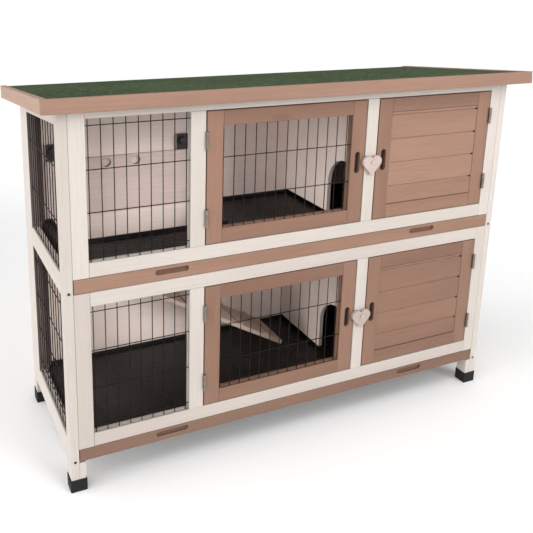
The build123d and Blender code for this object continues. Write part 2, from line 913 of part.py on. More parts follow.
def roof_pieces():
    """Deck, felt and the three fascia boards."""
    inner = roof_half - fascia_t
    board_x = (-inner + fit, inner - fit)
    slope = (roof_front + fascia_t + fit, roof_back)
    with BuildPart() as deck:
        roof_slab(board_x, slope, (0, deck_t))
    keep(deck, "roof_deck")
    with BuildPart() as felt:
        roof_slab(board_x, slope, (deck_t + felt_gap, deck_t + felt_t))
    keep(felt, "roof_felt")
    thick = (-fascia_down, fascia_up)
    with BuildPart() as front:
        roof_slab((-roof_half, roof_half), (roof_front, roof_front + fascia_t), thick)
        fillet(front.edges().filter_by(Axis.X), edge_round)
    keep(front, "roof_front_fascia")
    for side, name in ((-1, "left"), (1, "right")):
        with BuildPart() as fascia:
            roof_slab(between(side * inner, side * roof_half), slope, thick)
        keep(fascia, f"roof_{name}_fascia")


# ---------------------------------------------------------------- assembly

side_posts(-1, "left")
side_posts(1, "right")
left_top_rail()
middle_grooves = (
    (middle_rail_z[0], middle_rail_z[0] + groove_deep),
    (middle_rail_z[1] - groove_deep, middle_rail_z[1]),
)
bottom_groove = (bottom_rail_z[1] - groove_deep, bottom_rail_z[1])
left_rail("left_middle_rail", middle_rail_z, middle_grooves)
left_rail("left_bottom_rail", bottom_rail_z, (bottom_groove,))
leg_blocks()
foot_caps()
tray_runners()
back_panels()
roof_pieces()
frame_hinge_leaves()
screws()
ramp()
hatch_cover()
cover_clip("left_cover_clip", clip_x[0])
cover_clip("right_cover_clip", clip_x[1])
for level in ("lower", "upper"):
    side_mesh(level)
    right_boards(level)
    front_frame(level)
    window_mesh(level)
    mesh_door(level)
    plank_door(level)
    door_hinge_leaves(level, "mesh", mesh_door_x, 1)
    door_hinge_leaves(level, "plank", plank_door_x, -1)
    heart_latch(level)
    tray_front(level)
    tray_floor(level)
    divider(level)
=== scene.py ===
import json
import math
import random

import bmesh
import bpy
from mathutils import Matrix, Vector


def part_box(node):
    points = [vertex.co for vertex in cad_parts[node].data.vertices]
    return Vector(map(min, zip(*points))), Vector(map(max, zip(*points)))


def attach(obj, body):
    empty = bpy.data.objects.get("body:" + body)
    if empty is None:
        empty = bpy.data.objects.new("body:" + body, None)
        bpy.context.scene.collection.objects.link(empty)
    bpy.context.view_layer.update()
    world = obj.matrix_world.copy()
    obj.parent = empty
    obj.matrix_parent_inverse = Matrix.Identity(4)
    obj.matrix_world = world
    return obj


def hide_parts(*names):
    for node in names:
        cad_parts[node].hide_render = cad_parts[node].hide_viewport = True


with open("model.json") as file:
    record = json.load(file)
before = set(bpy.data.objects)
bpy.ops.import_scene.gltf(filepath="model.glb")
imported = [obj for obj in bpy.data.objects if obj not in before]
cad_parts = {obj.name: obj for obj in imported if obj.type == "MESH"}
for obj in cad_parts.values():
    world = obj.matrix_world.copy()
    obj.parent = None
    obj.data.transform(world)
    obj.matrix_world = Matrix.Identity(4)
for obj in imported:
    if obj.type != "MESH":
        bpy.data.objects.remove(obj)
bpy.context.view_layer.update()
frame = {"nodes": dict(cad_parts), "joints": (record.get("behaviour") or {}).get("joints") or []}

nodes = frame["nodes"]
scene = bpy.context.scene

# Lengths are in metres, in the frame's axes: +X to the right, front towards -Y, +Z up.

# ------------------------------------------------------------------ shader helpers


def put(tree, kind, values=None, **settings):
    """A new shader node; values fill its inputs with constants or link them to outputs."""
    node = tree.nodes.new(kind)
    for key, value in settings.items():
        setattr(node, key, value)
    for key, value in (values or {}).items():
        socket = node.inputs[key]
        if isinstance(value, bpy.types.NodeSocket):
            tree.links.new(value, socket)
        else:
            socket.default_value = value
    return node


def calc(tree, operation, a, b=0.0):
    """One Math node's result."""
    return put(tree, "ShaderNodeMath", {0: a, 1: b}, operation=operation).outputs[0]


def times(tree, a, b):
    """Two values multiplied."""
    return calc(tree, "MULTIPLY", a, b)


def plus(tree, a, b):
    """Two values added."""
    return calc(tree, "ADD", a, b)


def blend(tree, factor, a, b):
    """Two colours mixed: all a at factor 0, all b at 1."""
    node = put(tree, "ShaderNodeMix", {0: factor, 6: a, 7: b}, data_type="RGBA", blend_type="MIX")
    return node.outputs[2]


def tint(tree, colour, where, strength, other):
    """A colour moved towards another, as far as strength where the mask is 1."""
    return blend(tree, times(tree, where, strength), colour, other)


def remap(tree, value, low, high, to_low=0.0, to_high=1.0, smooth=False):
    """A value moved from one range to another, clamped."""
    kind = "SMOOTHSTEP" if smooth else "LINEAR"
    values = {0: value, 1: low, 2: high, 3: to_low, 4: to_high}
    return put(tree, "ShaderNodeMapRange", values, interpolation_type=kind).outputs[0]


def stretched(tree, vector, scale):
    """A vector scaled by a different amount along each axis."""
    node = put(tree, "ShaderNodeVectorMath", {0: vector, 1: scale}, operation="MULTIPLY")
    return node.outputs[0]


def rotated(tree, vector, turn):
    """A vector turned by three angles."""
    values = {0: vector, "Rotation": turn}
    return put(tree, "ShaderNodeVectorRotate", values, rotation_type="EULER_XYZ").outputs[0]


def noise(tree, vector, scale, detail=3.0, roughness=0.55):
    """Noise value; scale is a number or one number for each axis."""
    if not isinstance(scale, (int, float)):
        vector, scale = stretched(tree, vector, scale), 1.0
    values = {"Vector": vector, "Scale": scale, "Detail": detail, "Roughness": roughness}
    return put(tree, "ShaderNodeTexNoise", values).outputs["Fac"]


def grains(tree, vector, scale):
    """Cells of a Voronoi texture: the node and its three random values for each cell."""
    cells = put(tree, "ShaderNodeTexVoronoi", {"Vector": vector, "Scale": scale})
    chance = put(tree, "ShaderNodeSeparateColor", {0: cells.outputs["Color"]})
    return cells, chance.outputs


def rgb(r, g, b):
    """A colour given as it looks on screen, 0 to 255."""

    def linear(v):
        v = v / 255
        return v / 12.92 if v <= 0.04045 else ((v + 0.055) / 1.055) ** 2.4

    return (linear(r), linear(g), linear(b), 1.0)


def material(name, shown):
    """A new material with its tree, its Principled node and its object coordinates."""
    made = bpy.data.materials.new(name)
    made.use_nodes = True
    made.diffuse_color = shown
    tree = made.node_tree
    tree.nodes.clear()
    shader = tree.nodes.new("ShaderNodeBsdfPrincipled")
    output = tree.nodes.new("ShaderNodeOutputMaterial")
    tree.links.new(shader.outputs[0], output.inputs[0])
    place = tree.nodes.new("ShaderNodeTexCoord").outputs["Object"]
    return made, tree, shader, place


def dress(tree, shader, colour, rough, gloss, metallic=0.0):
    """Colour and roughness linked, gloss and metal set."""
    tree.links.new(colour, shader.inputs["Base Color"])
    tree.links.new(rough, shader.inputs["Roughness"])
    shader.inputs["Specular IOR Level"].default_value = gloss
    shader.inputs["Metallic"].default_value = metallic


def relief(tree, shader, height, strength, distance, normal=None):
    """Bump from a height value, over a given normal if there is one."""
    values = {"Height": height, "Strength": strength, "Distance": distance}
    if normal is not None:
        values["Normal"] = normal
    bump = put(tree, "ShaderNodeBump", values)
    tree.links.new(bump.outputs[0], shader.inputs["Normal"])


# ------------------------------------------------------------------ wood

# Scales are along the grain first, then across it.
TONE_SCALE = (1.7, 13.0, 13.0)
FIBRE_SCALE = (11.0, 330.0, 330.0)
SWAY_SCALE = (0.9, 4.0, 4.0)
KNOT_SCALE = (3.1, 8.0, 8.0)
KNOT_CHANCE = 0.74             # a cell holds a knot if its random value is above this
KNOT_SIZE = (0.10, 0.045)      # where a knot's edge begins and ends
KNOT_PULL = (0.42, 0.05)       # how far from a knot the rings begin to bend round it
PULL_DEPTH = 0.012             # and how far they bend
RING_PITCH = 0.0085
RING_SLANT = 0.8               # the rings lie across the board at this slope
RING_SWAY = 0.055              # how far they wander from straight
RING_SHARP = 2.2               # above 1, rings are thin lines with wide wood between them


def wood_figure():
    """Shared group: grain runs along X. Gives broad tone, fibres, growth rings and knots."""
    tree = bpy.data.node_groups.new("wood_figure", "ShaderNodeTree")
    tree.interface.new_socket("Vector", in_out="INPUT", socket_type="NodeSocketVector")
    for name in ("Tone", "Fibre", "Ring", "Knot"):
        tree.interface.new_socket(name, in_out="OUTPUT", socket_type="NodeSocketFloat")
    source = tree.nodes.new("NodeGroupInput").outputs["Vector"]
    sink = tree.nodes.new("NodeGroupOutput")
    tone = noise(tree, source, TONE_SCALE, detail=4.0)
    fibre = noise(tree, source, FIBRE_SCALE, detail=3.0, roughness=0.65)
    cells, chance = grains(tree, stretched(tree, source, KNOT_SCALE), 1.0)
    chosen = calc(tree, "GREATER_THAN", chance[0], KNOT_CHANCE)
    away = cells.outputs["Distance"]
    knot = times(tree, remap(tree, away, *KNOT_SIZE, smooth=True), chosen)
    pull = times(tree, remap(tree, away, *KNOT_PULL, smooth=True), chosen)
    axes = put(tree, "ShaderNodeSeparateXYZ", {0: source}).outputs
    sway = noise(tree, source, SWAY_SCALE, detail=2.0)
    across = plus(tree, axes[1], times(tree, axes[2], RING_SLANT))
    across = plus(tree, across, times(tree, sway, RING_SWAY))
    across = plus(tree, across, times(tree, pull, PULL_DEPTH))
    wave = calc(tree, "SINE", times(tree, across, 2 * math.pi / RING_PITCH))
    ring = calc(tree, "POWER", remap(tree, wave, -1.0, 1.0), RING_SHARP)
    for name, value in (("Tone", tone), ("Fibre", fibre), ("Ring", ring), ("Knot", knot)):
        tree.links.new(value, sink.inputs[name])
    return tree


FIGURE = wood_figure()
TURN = {"X": (0, 0, 0), "Y": (0, 0, -math.pi / 2), "Z": (0, math.pi / 2, 0)}

# Each wood: light and dark stain (painted light or painted shade for the kinds marked so), then the
# colours and strengths of its fibre lines, knots and worn edges (line, knot, edge; fibre, ring, knots,
# edges), its roughness and its bump.
WOODS = {
    "white": dict(
        light=rgb(192, 184, 178), dark=rgb(182, 174, 166),
        line=rgb(165, 151, 139), knot=rgb(185, 161, 143), edge=rgb(193, 174, 160),
        fibre=0.26, ring=0.10, knots=0.40, edges=0.22, rough=0.62, bump=0.25,
    ),
    "heart": dict(
        light=rgb(191, 179, 173), dark=rgb(175, 159, 152),
        line=rgb(148, 129, 119), knot=rgb(159, 131, 116), edge=rgb(165, 138, 123),
        fibre=0.45, ring=0.18, knots=0.40, edges=0.40, rough=0.60, bump=0.30,
    ),
    "brown": dict(
        light=rgb(143, 111, 93), dark=rgb(129, 97, 80),
        line=rgb(111, 81, 67), knot=rgb(98, 68, 55), edge=rgb(175, 147, 130),
        fibre=0.30, ring=0.06, knots=0.45, edges=0.26, rough=0.58, bump=0.35,
    ),
    "umber": dict(
        light=rgb(136, 103, 86), dark=rgb(122, 91, 75),
        line=rgb(103, 75, 61), knot=rgb(91, 63, 50), edge=rgb(166, 138, 122),
        fibre=0.30, ring=0.06, knots=0.30, edges=0.28, rough=0.58, bump=0.35,
    ),
    # painted shade: near-black wood for the insides of slots, notches and holes, where shade falls
    "recess": dict(
        light=rgb(42, 30, 25), dark=rgb(29, 20, 17),
        line=rgb(24, 17, 14), knot=rgb(24, 16, 13), edge=rgb(60, 44, 37),
        fibre=0.35, ring=0.10, knots=0.40, edges=0.20, rough=0.75, bump=0.35,
    ),
    "fascia": dict(
        light=rgb(146, 114, 97), dark=rgb(132, 101, 85),
        line=rgb(115, 86, 72), knot=rgb(100, 72, 58), edge=rgb(179, 153, 138),
        fibre=0.32, ring=0.08, knots=0.40, edges=0.30, rough=0.60, bump=0.35,
    ),
    # painted light: the inside boards are paler than the white outside, standing in for the light
    # reaching in; the lower copy adds painted shade
    "inner": dict(
        light=rgb(254, 240, 232), dark=rgb(248, 231, 222),
        line=rgb(214, 192, 183), knot=rgb(190, 162, 148), edge=rgb(204, 182, 170),
        fibre=0.24, ring=0.10, knots=0.30, edges=0.15, rough=0.66, bump=0.20,
    ),
    "cover": dict(
        light=rgb(229, 210, 204), dark=rgb(215, 193, 187),
        line=rgb(186, 160, 151), knot=rgb(176, 146, 134), edge=rgb(242, 228, 222),
        fibre=0.28, ring=0.14, knots=0.35, edges=0.30, rough=0.66, bump=0.20,
    ),
}
LEG_TOP = 0.066                # inside the left bottom rail, which hides where the painted shade starts


def recoloured(kind, light, dark):
    """A wood with other light and dark colours: another stain, or painted light or shade."""
    return dict(WOODS[kind], light=light, dark=dark)


# painted shade: the lower storey's boards are a little darker, standing in for the light falling off
# towards the bottom
WOODS["white_low"] = recoloured("white", rgb(187, 179, 172), rgb(177, 167, 160))
WOODS["heart_low"] = recoloured("heart", rgb(172, 158, 151), rgb(157, 141, 132))
WOODS["brown_low"] = recoloured("brown", rgb(131, 99, 82), rgb(117, 86, 71))
WOODS["umber_low"] = recoloured("umber", rgb(131, 100, 83), rgb(117, 86, 71))
WOODS["inner_low"] = recoloured("inner", rgb(224, 209, 201), rgb(212, 196, 187))
WOODS["tray_low"] = recoloured("brown", rgb(126, 98, 83), rgb(110, 84, 70))
# painted light: the left fascia is paler, standing in for the light on the roof's left side
WOODS["fascia_left"] = recoloured("fascia", rgb(172, 144, 128), rgb(159, 130, 114))
WOODS["ramp"] = recoloured("inner", rgb(206, 184, 170), rgb(188, 164, 150))
# painted shade: darker wood in the tray grips and the cover's finger holes
WOODS["grip"] = recoloured("recess", rgb(112, 83, 70), rgb(92, 66, 55))
# painted shade: dark strips standing in for the shadow in the rear left corner
WOODS["batten"] = recoloured("recess", rgb(90, 76, 71), rgb(74, 61, 57))
# painted shade: the rear left post's edge is dark above the leg, standing in for the corner's shadow
WOODS["post_edge"] = dict(WOODS["white"], shaded_above=LEG_TOP, shade_colour=rgb(70, 58, 54))

STAIN_BAND = (0.32, 0.68)      # the tone where a board is all dark, and all light
STAIN_SPREAD = 0.18            # how far that band moves from board to board
FIBRE_BAND = (0.46, 0.78)
RING_BAND = (0.30, 0.70)
SHADE_STRENGTH = 0.88
WORN_RADIUS = 0.0016           # edges are rounded and worn this far in
WORN_BAND = (0.995, 0.80)
PATCH_SCALE = 38.0             # the wear comes in patches of this scale
PATCH_BAND = (0.40, 0.66)
WOOD_GLOSS = 0.30
BOARD_VARIANTS = 4             # different pieces of each wood
SMOOTHING = 0.10               # the ground between fibres is this much smoother than the board
FIBRE_ROUGH = 0.22             # and a fibre this much rougher than the ground
RING_DEPTH = 0.35              # a growth ring lies this much lower than the fibres stand up
WOOD_RELIEF = 0.0006
made_woods = {}


def stain(tree, look, figure, level):
    """A board's colour: stain (or painted light or shade, for the kinds marked so), fibre lines,
    growth rings and knots.
    """
    tone, fibre, ring, knot = (figure.outputs[n] for n in ("Tone", "Fibre", "Ring", "Knot"))
    low, high = (edge + level for edge in STAIN_BAND)
    colour = blend(tree, remap(tree, tone, low, high), look["dark"], look["light"])
    colour = tint(tree, colour, remap(tree, fibre, *FIBRE_BAND), look["fibre"], look["line"])
    shown = times(tree, ring, remap(tree, tone, *RING_BAND))
    colour = tint(tree, colour, shown, look["ring"], look["line"])
    return tint(tree, colour, knot, look["knots"], look["knot"])


def worn(tree, look, colour, rounded, moved):
    """Paler wood in patches along the edges."""
    flat = tree.nodes.new("ShaderNodeNewGeometry").outputs["Normal"]
    values = {0: rounded, 1: flat}
    facing = put(tree, "ShaderNodeVectorMath", values, operation="DOT_PRODUCT").outputs["Value"]
    patchy = remap(tree, noise(tree, moved, PATCH_SCALE, detail=4.0), *PATCH_BAND)
    rubbed = times(tree, remap(tree, facing, *WORN_BAND), patchy)
    return tint(tree, colour, rubbed, look["edges"] * 2, look["edge"])


def painted_shade_above(tree, look, colour, place):
    """Painted shade: a dark colour above a height."""
    height = put(tree, "ShaderNodeSeparateXYZ", {0: place}).outputs[2]
    above = calc(tree, "GREATER_THAN", height, look["shaded_above"])
    return tint(tree, colour, above, SHADE_STRENGTH, look["shade_colour"])


def wood(kind, axis, variant, tilt=(0, 0, 0)):
    """One stained board's material, with its grain along an axis."""
    key = (kind, axis, variant, tilt)
    if key in made_woods:
        return made_woods[key]
    look = WOODS[kind]
    name = f"{kind}_wood_{axis}{variant}_{len(made_woods)}"
    made, tree, shader, place = material(name, look["light"])
    draw = random.Random(f"{kind}{axis}{variant}")
    shift = tuple(draw.uniform(1, 9) for _ in range(3))
    level = draw.uniform(-STAIN_SPREAD, STAIN_SPREAD)
    along = rotated(tree, place, tilt) if any(tilt) else place
    along = rotated(tree, along, TURN[axis])
    moved = put(tree, "ShaderNodeVectorMath", {0: along, 1: shift}, operation="ADD").outputs[0]
    figure = put(tree, "ShaderNodeGroup", {}, node_tree=FIGURE)
    tree.links.new(moved, figure.inputs[0])
    rounded = put(tree, "ShaderNodeBevel", {"Radius": WORN_RADIUS}, samples=4).outputs[0]
    colour = stain(tree, look, figure, level)
    colour = worn(tree, look, colour, rounded, moved)
    # painted shade above a height, for the kinds that carry it
    if "shaded_above" in look:
        colour = painted_shade_above(tree, look, colour, place)
    fibre, ring = figure.outputs["Fibre"], figure.outputs["Ring"]
    rough = plus(tree, times(tree, fibre, FIBRE_ROUGH), look["rough"] - SMOOTHING)
    height = calc(tree, "SUBTRACT", fibre, times(tree, ring, RING_DEPTH))
    dress(tree, shader, colour, rough, WOOD_GLOSS)
    relief(tree, shader, height, look["bump"], WOOD_RELIEF, rounded)
    made_woods[key] = made
    return made


# ------------------------------------------------------------------ other materials

GRANULES = 620.0               # mineral granules of the felt, to a metre
FELT_GREENS = (rgb(38, 54, 30), rgb(74, 92, 57))
PALE_ABOVE = 0.93              # granules with a random value above this are pale
PALE_GRANULE = rgb(138, 146, 120)
DARK_BELOW = 0.12              # and those with one below this are dark
DARK_GRANULE = rgb(26, 34, 24)
FELT_PATCHES = (
    # noise scale, detail and roughness; where it shows; how strongly; colour
    (120.0, 3.0, 0.70, (0.40, 0.60), 0.60, rgb(30, 42, 24)),
    (64.0, 3.0, 0.70, (0.54, 0.68), 0.55, rgb(112, 124, 92)),
    (5.0, 5.0, 0.55, (0.38, 0.64), 0.16, rgb(98, 108, 78)),
)


def felt():
    """Green mineral-surfaced roofing felt: granules in several greens, with patches."""
    made, tree, shader, place = material("roof_felt", rgb(66, 84, 58))
    cells, chance = grains(tree, place, GRANULES)
    colour = blend(tree, chance[0], *FELT_GREENS)
    pale = calc(tree, "GREATER_THAN", chance[1], PALE_ABOVE)
    colour = tint(tree, colour, pale, strength=0.55, other=PALE_GRANULE)
    dark = calc(tree, "LESS_THAN", chance[2], DARK_BELOW)
    colour = tint(tree, colour, dark, strength=0.7, other=DARK_GRANULE)
    for scale, detail, roughness, band, strength, patch in FELT_PATCHES:
        where = remap(tree, noise(tree, place, scale, detail, roughness), *band)
        colour = tint(tree, colour, where, strength, patch)
    rough = remap(tree, chance[0], low=0.0, high=1.0, to_low=0.82, to_high=0.98)
    dress(tree, shader, colour, rough, gloss=0.12)
    domes = calc(tree, "SUBTRACT", 1.0, cells.outputs["Distance"])
    relief(tree, shader, domes, strength=0.7, distance=0.0009)
    return made


COATING = 180.0                # patches in the wire's coating, to a metre
WIRE_DARKS = (rgb(16, 7, 5), rgb(32, 18, 14))


def wire():
    """Dark coated wire with a dull sheen."""
    made, tree, shader, place = material("dark_wire", rgb(44, 36, 34))
    patch = noise(tree, place, COATING, detail=4.0)
    colour = blend(tree, remap(tree, patch, low=0.42, high=0.66), *WIRE_DARKS)
    rough = remap(tree, patch, low=0.3, high=0.7, to_low=0.34, to_high=0.56)
    dress(tree, shader, colour, rough, gloss=0.15)
    relief(tree, shader, patch, strength=0.2, distance=0.0004)
    return made


SMEAR = 9.0                    # broad smears on a plastic's surface, to a metre


def plastic(name, low, high, rough, grain, pebble, gloss):
    """Moulded plastic with a fine pebbled texture."""
    made, tree, shader, place = material(name, high)
    broad = noise(tree, place, SMEAR, detail=5.0)
    fine = noise(tree, place, grain, detail=3.0)
    colour = blend(tree, remap(tree, broad, low=0.35, high=0.68), low, high)
    mixed = plus(tree, times(tree, broad, 0.6), times(tree, fine, 0.4))
    smeared = remap(tree, mixed, low=0.3, high=0.7, to_low=rough - 0.10, to_high=rough + 0.12)
    dress(tree, shader, colour, smeared, gloss)
    relief(tree, shader, fine, strength=pebble, distance=0.0008)
    return made


SPANGLE = 260.0                # crystals of the plating, to a metre
DRAWN = (60.0, 60.0, 900.0)    # scale of the fine streaks


def metal(name, low, high):
    """Plated steel, dull and a little streaky."""
    made, tree, shader, place = material(name, high)
    chance = grains(tree, place, SPANGLE)[1]
    streak = noise(tree, place, DRAWN, detail=3.0)
    tone = plus(tree, times(tree, chance[0], 0.4), times(tree, streak, 0.6))
    colour = blend(tree, remap(tree, tone, low=0.25, high=0.75), low, high)
    rough = remap(tree, tone, low=0.2, high=0.8, to_low=0.30, to_high=0.55)
    dress(tree, shader, colour, rough, gloss=0.5, metallic=0.85)
    relief(tree, shader, streak, strength=0.15, distance=0.0003)
    return made


PAPER_SHADE = (0.96, 0.96, 0.96, 1.0)
PAPER_ROUGH = 0.9
PAPER_GLOSS = 0.1


def paper():
    """Matt white floor paper."""
    made, _, shader, _ = material("floor_paper", PAPER_SHADE)
    shader.inputs["Base Color"].default_value = PAPER_SHADE
    shader.inputs["Roughness"].default_value = PAPER_ROUGH
    shader.inputs["Specular IOR Level"].default_value = PAPER_GLOSS
    return made


FELT = felt()
WIRE = wire()
TRAY = plastic(
    "tray_plastic", rgb(17, 14, 13), rgb(40, 35, 33), rough=0.40, grain=300.0, pebble=0.9, gloss=0.35,
)
FOOT = plastic(
    "foot_plastic", rgb(14, 15, 14), rgb(25, 26, 25), rough=0.66, grain=700.0, pebble=0.35, gloss=0.25,
)
KNOB = plastic(
    "knob_plastic", rgb(30, 29, 29), rgb(46, 44, 44), rough=0.42, grain=600.0, pebble=0.35, gloss=0.5,
)
ZINC = metal("zinc", rgb(112, 102, 94), rgb(150, 140, 131))
BRIGHT = metal("bright_screw", rgb(176, 164, 154), rgb(206, 196, 188))
BLUED = metal("blued_screw", rgb(46, 42, 40), rgb(84, 78, 74))

# ------------------------------------------------------------------ finding faces

SAME_CORNER = 5e-6             # corners nearer than this are one


def solids_of(obj):
    """The faces of each separate solid of a mesh, found by shared corners."""
    mesh = obj.data
    parent = {}

    def root(k):
        while parent[k] != k:
            parent[k] = parent[parent[k]]
            k = parent[k]
        return k

    keys = [tuple(round(c / SAME_CORNER) for c in v.co) for v in mesh.vertices]
    for k in keys:
        parent.setdefault(k, k)
    for poly in mesh.polygons:
        first = root(keys[poly.vertices[0]])
        for v in poly.vertices[1:]:
            parent[root(keys[v])] = first
    groups = {}
    for poly in mesh.polygons:
        groups.setdefault(root(keys[poly.vertices[0]]), []).append(poly.index)
    return list(groups.values())


def long_axis(obj, faces):
    """The axis that a solid is longest along."""
    corners = [obj.data.vertices[v].co for f in faces for v in obj.data.polygons[f].vertices]
    spans = [max(c[i] for c in corners) - min(c[i] for c in corners) for i in range(3)]
    return "XYZ"[spans.index(max(spans))]


def plain(name, *materials):
    """Materials for a whole node; all its faces take the first one."""
    obj = nodes[name]
    obj.data.materials.clear()
    for made in materials:
        obj.data.materials.append(made)


def boards(name, kind, axis=None, tilt=(0, 0, 0)):
    """Each solid of a node becomes a board with its own grain."""
    obj = nodes[name]
    obj.data.materials.clear()
    draw = random.Random(name)
    slots = {}
    for faces in solids_of(obj):
        made = wood(kind, axis or long_axis(obj, faces), draw.randrange(BOARD_VARIANTS), tilt)
        if made.name not in slots:
            slots[made.name] = len(obj.data.materials)
            obj.data.materials.append(made)
        for f in faces:
            obj.data.polygons[f].material_index = slots[made.name]


SKIN = 0.0006                  # faces less deep than this count as the front
FACING = 0.5                   # a face with more of its normal along Y faces front or back


def paint_shade_in(name, kind, axis, low, high, holes=False):
    """Painted shade: another wood on faces wholly inside a box; holes leaves out those that face front
    or back.
    """
    obj = nodes[name]
    slot = len(obj.data.materials)
    obj.data.materials.append(wood(kind, axis, 0))
    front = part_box(name)[0].y
    for poly in obj.data.polygons:
        corners = [obj.data.vertices[v].co for v in poly.vertices]
        inside = all(low[i] <= c[i] <= high[i] for c in corners for i in range(3))
        deep = poly.center.y > front + SKIN and not (holes and abs(poly.normal.y) > FACING)
        if inside and deep:
            poly.material_index = slot


# ------------------------------------------------------------------ materials on CAD nodes

FRONT_PARTS = ("left_stile", "right_stile", "top_rail", "bottom_rail", "door_stile", "latch_stile")
WHITE_PARTS = (
    "left_front_post", "left_rear_post", "left_top_rail", "left_middle_rail", "left_bottom_rail",
    "right_front_post", "right_rear_post", "right_upper_boards", "right_lower_boards",
    "leg_blocks", "tray_runners",
)
STAINS_AND_SHADE = {
    # what each storey's parts are stained; the lower storey's kinds are darker copies, painted shade
    "upper": dict(front="white", doors="umber", planks="brown", tray="brown", divider="inner"),
    "lower": dict(
        front="white_low", doors="umber_low", planks="brown_low", tray="tray_low", divider="inner_low",
    ),
}
NOTCH = 0.016                  # the notches lie this near to the right ends of the boards
FINGER_IN = 0.018              # from a door's free edge to the middle of its finger slot
FINGER_HALF = (0.0075, 0.0255)    # half a slot, across and along, with a little to spare
FINGER_SKIN = 0.002            # a slot's walls start this deep
GRIP_X = 0.3225                # middle of a tray's finger grip, each side
GRIP_HALF = 0.038              # half a grip, with a little to spare
GRIP_SKIN = 0.001              # a grip's walls start this deep
GRIP_RIM = 0.002               # and end this far from the front's edges
COVER_RIM = 0.002              # the hatch cover's outer edges lie within this
SCREWS_SIDE = 0.3              # screws farther out than this are in the side panels
ROOF_TILT = (math.radians(5.75), 0, 0)


def board_notches(storey):
    """Painted shade in the notches at the right ends of the boarded door's joints."""
    name = f"{storey}_plank_door_boards"
    low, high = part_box(name)
    paint_shade_in(name, "recess", "X", (high.x - NOTCH, low.y, low.z), high)


def finger_slots(storey):
    """Painted shade in the slots at the doors' free edges, one on each side of the latch stile."""
    across, along = FINGER_HALF
    for door in ("mesh_door", "plank_door"):
        name = f"{storey}_{door}_frame"
        low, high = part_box(name)
        middle_x = high.x - FINGER_IN if door == "mesh_door" else low.x + FINGER_IN
        middle_z = (low.z + high.z) / 2
        paint_shade_in(
            name, "recess", "Z",
            (middle_x - across, low.y + FINGER_SKIN, middle_z - along),
            (middle_x + across, high.y - FINGER_SKIN, middle_z + along),
        )


def tray_grips(storey):
    """Painted shade in the finger grips in the tray's front, left and right."""
    name = f"{storey}_tray_front"
    low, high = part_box(name)
    for side in (-1, 1):
        paint_shade_in(
            name, "grip", "X",
            (side * GRIP_X - GRIP_HALF, low.y + GRIP_SKIN, low.z + GRIP_RIM),
            (side * GRIP_X + GRIP_HALF, high.y - GRIP_SKIN, high.z - GRIP_RIM),
        )


def finish_storey(storey):
    """Everything that one storey has."""
    # the lower storey takes darker copies of the woods: painted shade
    stains_and_shade = STAINS_AND_SHADE[storey]
    for part in FRONT_PARTS:
        boards(f"{storey}_{part}", stains_and_shade["front"])
    for door in ("mesh_door", "plank_door"):
        boards(f"{storey}_{door}_frame", stains_and_shade["doors"])
    boards(f"{storey}_plank_door_boards", stains_and_shade["planks"])
    boards(f"{storey}_tray_front", stains_and_shade["tray"])
    board_notches(storey)
    finger_slots(storey)
    tray_grips(storey)
    boards(f"{storey}_divider", stains_and_shade["divider"], "Z")
    for mesh in (f"{storey}_window_mesh", f"{storey}_mesh_door_mesh", f"left_{storey}_mesh"):
        plain(mesh, WIRE)
    for door in ("mesh_door", "plank_door"):
        plain(f"{storey}_{door}_hinges", ZINC)
    plain(f"{storey}_tray_floor", TRAY)


def finish_inside():
    """The back, the ramp, the hatch cover with painted shade in its two finger holes, and the cover's
    clips.
    """
    boards("back_panels", "inner", "X")
    boards("ramp", "ramp", "X")
    boards("hatch_cover", "cover", "X")
    low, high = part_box("hatch_cover")
    rim = Vector((COVER_RIM, 0, COVER_RIM))
    # painted shade on the walls of the cover's finger holes
    paint_shade_in("hatch_cover", "grip", "X", low + rim, high - rim, holes=True)
    plain("left_cover_clip", KNOB)
    plain("right_cover_clip", KNOB)


def finish_roof():
    """Deck, fascia boards and felt; the grain follows the roof's fall."""
    boards("roof_deck", "fascia", "X", ROOF_TILT)
    boards("roof_front_fascia", "fascia", "X", ROOF_TILT)
    # the left fascia is paler: painted light
    boards("roof_left_fascia", "fascia_left", "Y", ROOF_TILT)
    boards("roof_right_fascia", "fascia", "Y", ROOF_TILT)
    plain("roof_felt", FELT)


def finish_screws():
    """Dark screws in the side panels, bright ones through the hearts."""
    plain("screws", BLUED, BRIGHT)
    screws = nodes["screws"]
    for faces in solids_of(screws):
        in_side = abs(screws.data.polygons[faces[0]].center.x) > SCREWS_SIDE
        for f in faces:
            screws.data.polygons[f].material_index = 0 if in_side else 1


def paint_post_edge_shade():
    """The rear left post's edge: painted shade inside the windows, white on the leg below them."""
    post = nodes["left_rear_post"].data
    post.materials.append(wood("post_edge", "Z", 0))
    for poly in post.polygons:
        if poly.normal.y < -FACING:
            poly.material_index = len(post.materials) - 1


finish_storey("upper")
finish_storey("lower")
for name in WHITE_PARTS:
    boards(name, "white")
finish_inside()
finish_roof()
finish_screws()
plain("foot_caps", FOOT)
plain("frame_hinge_leaves", ZINC)

# ------------------------------------------------------------------ new pieces


def piece(name, work, made):
    """An object from finished mesh work, with one material."""
    mesh = bpy.data.meshes.new(name)
    work.to_mesh(mesh)
    work.free()
    mesh.materials.append(made)
    obj = bpy.data.objects.new(name, mesh)
    scene.collection.objects.link(obj)
    return obj


# ------------------------------------------------------------------ heart latches

HEART_W = 0.050
HEART_H = 0.0465
HEART_TIP = 0.0035             # radius of the rounded tip
HEART_BELOW = 0.032            # from the screw down to the tip
HEART_LOBE = 0.27              # radius of a lobe, as a part of the heart's width
HEART_EDGE = 0.0014            # radius of the eased edges
HEART_CORNER = 50              # only edges sharper than this, in degrees, are eased
HEART_CREASE = 35              # and the shading is smooth up to this angle
HEART_STEPS = 24               # points along each arc
EDGE_STEPS = 3                 # facets across an eased edge


